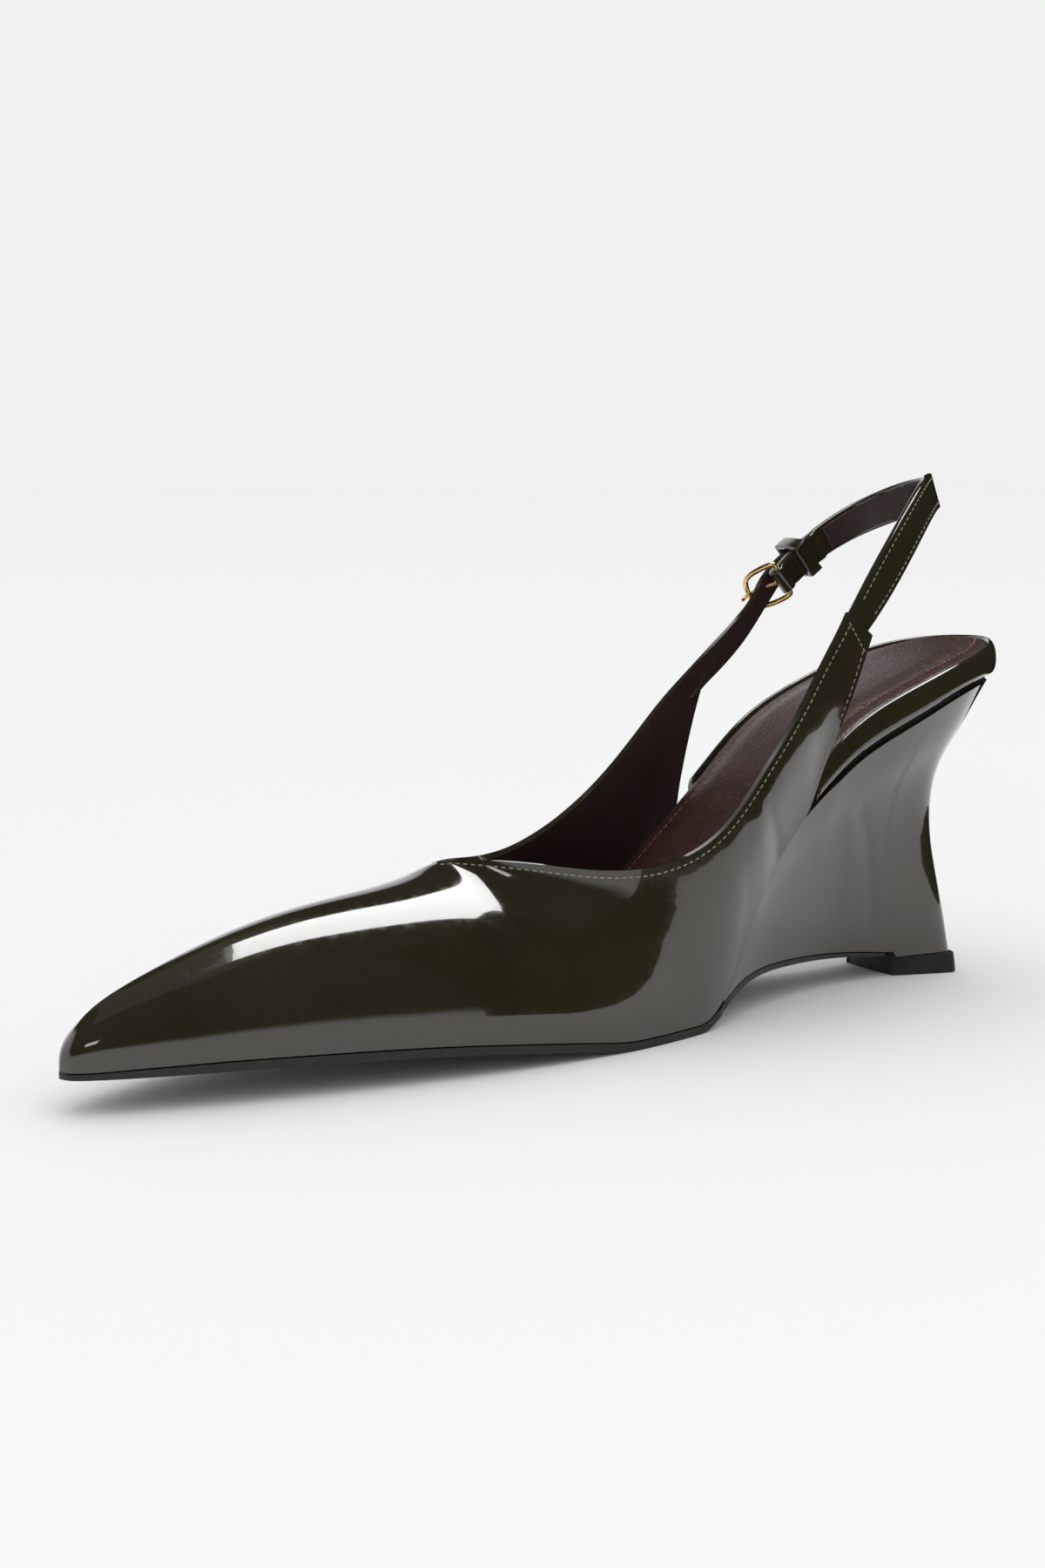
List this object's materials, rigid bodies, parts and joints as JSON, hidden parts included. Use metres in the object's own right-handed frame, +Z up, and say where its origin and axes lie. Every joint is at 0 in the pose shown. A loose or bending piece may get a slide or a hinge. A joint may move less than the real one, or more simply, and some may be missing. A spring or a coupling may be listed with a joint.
{
  "type": "wedge pump",
  "caption": "Right slingback pump with a long pointed toe, a covered wedge heel, an open waist and a buckled heel strap.",
  "frame": {"origin": "centre of the bounding box in plan, on the floor that the heel lift and the forefoot stand on", "axes": "+X from heel to toe, +Y to the medial (inner) side of this right shoe, +Z up"},
  "size_m": [0.2658, 0.0672, 0.1319],
  "materials": {
    "patent_leather": "dark olive patent, mirror gloss",
    "brown_lining": "brown lining leather, satin",
    "outsole_leather": "black sole leather, satin edge",
    "lift_rubber": "black, matte",
    "gold_plate": "polished gold plate"
  },
  "bodies": {
    "root": {"outsole": "outsole_leather", "insole": "brown_lining", "wedge": "patent_leather", "heel_rand": "patent_leather", "heel_lift": "lift_rubber", "upper": "patent_leather", "sling_strap": "patent_leather", "buckle_frame": "gold_plate", "buckle_prong": "gold_plate", "strap_keeper": "patent_leather"}
  },
  "joints": []
}
